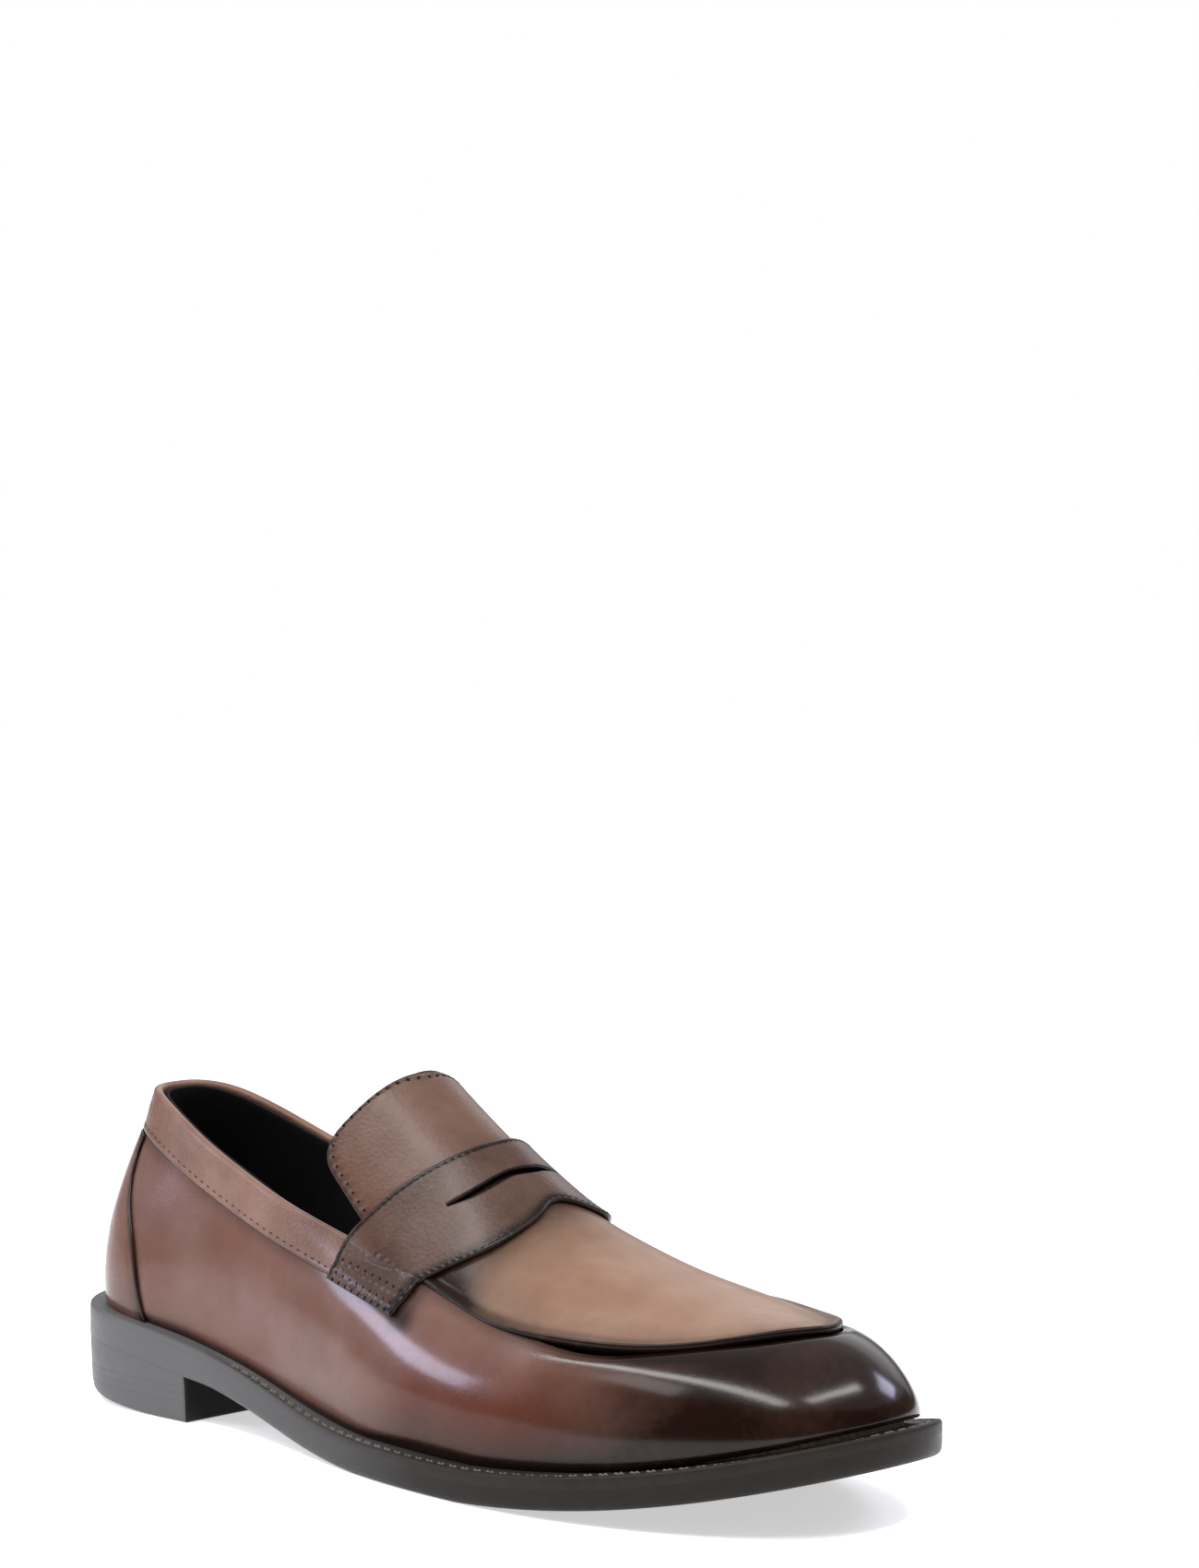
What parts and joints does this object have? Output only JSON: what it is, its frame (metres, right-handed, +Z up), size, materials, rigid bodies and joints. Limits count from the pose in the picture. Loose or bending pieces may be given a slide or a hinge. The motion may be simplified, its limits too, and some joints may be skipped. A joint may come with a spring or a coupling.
{
  "type": "penny loafer shoe",
  "caption": "Slip-on right-foot leather loafer with a moccasin apron, slotted saddle strap over a raised tongue, stitched welt and low stacked heel.",
  "frame": {"origin": "centre of the footprint's box on the ground, under the shoe", "axes": "+X to the toe, +Y to the wearer's medial side (left, on this right shoe), +Z up"},
  "size_m": [0.3, 0.1051, 0.1064],
  "materials": {
    "burnished_leather": "polished, burnished dark at toe and lower edge",
    "apron_leather": "soft sheen, tan brown with dark burnished edge",
    "collar_leather": "fine pebble grain, satin",
    "black_lining": "smooth, matt",
    "stiffener_board": "fibre stiffener, hidden",
    "sole_edge": "dark grey brown, satin",
    "sole_rubber": "dark grey brown, satin",
    "fibre_board": "plain",
    "cork": "ground cork, hidden",
    "shank_steel": "plain strip",
    "pad_foam": "foam, hidden",
    "sock_leather": "smooth, matt",
    "heel_stack": "stained stacked leather",
    "top_piece_rubber": "fine textured rubber",
    "nail_steel": "plain",
    "welt_thread": "waxed twisted thread",
    "upper_thread": "dark thread"
  },
  "bodies": {
    "root": {"vamp": "burnished_leather", "collar": "collar_leather", "backstay": "burnished_leather", "apron": "apron_leather", "tongue": "collar_leather", "saddle_strap": "collar_leather", "vamp_lining": "black_lining", "quarter_lining": "black_lining", "apron_lining": "black_lining", "tongue_lining": "black_lining", "toe_puff": "stiffener_board", "heel_counter": "stiffener_board", "welt": "sole_edge", "outsole": "sole_rubber", "insole_board": "fibre_board", "cork_filler": "cork", "shank": "shank_steel", "heel_pad": "pad_foam", "sock_liner": "sock_leather", "heel_seat_lift": "heel_stack", "heel_lift_1": "heel_stack", "heel_lift_2": "heel_stack", "heel_top_piece": "top_piece_rubber", "heel_nails": "nail_steel", "welt_stitching": "welt_thread", "strap_stitching": "upper_thread", "tongue_stitching": "upper_thread", "collar_stitching": "upper_thread"}
  },
  "joints": []
}
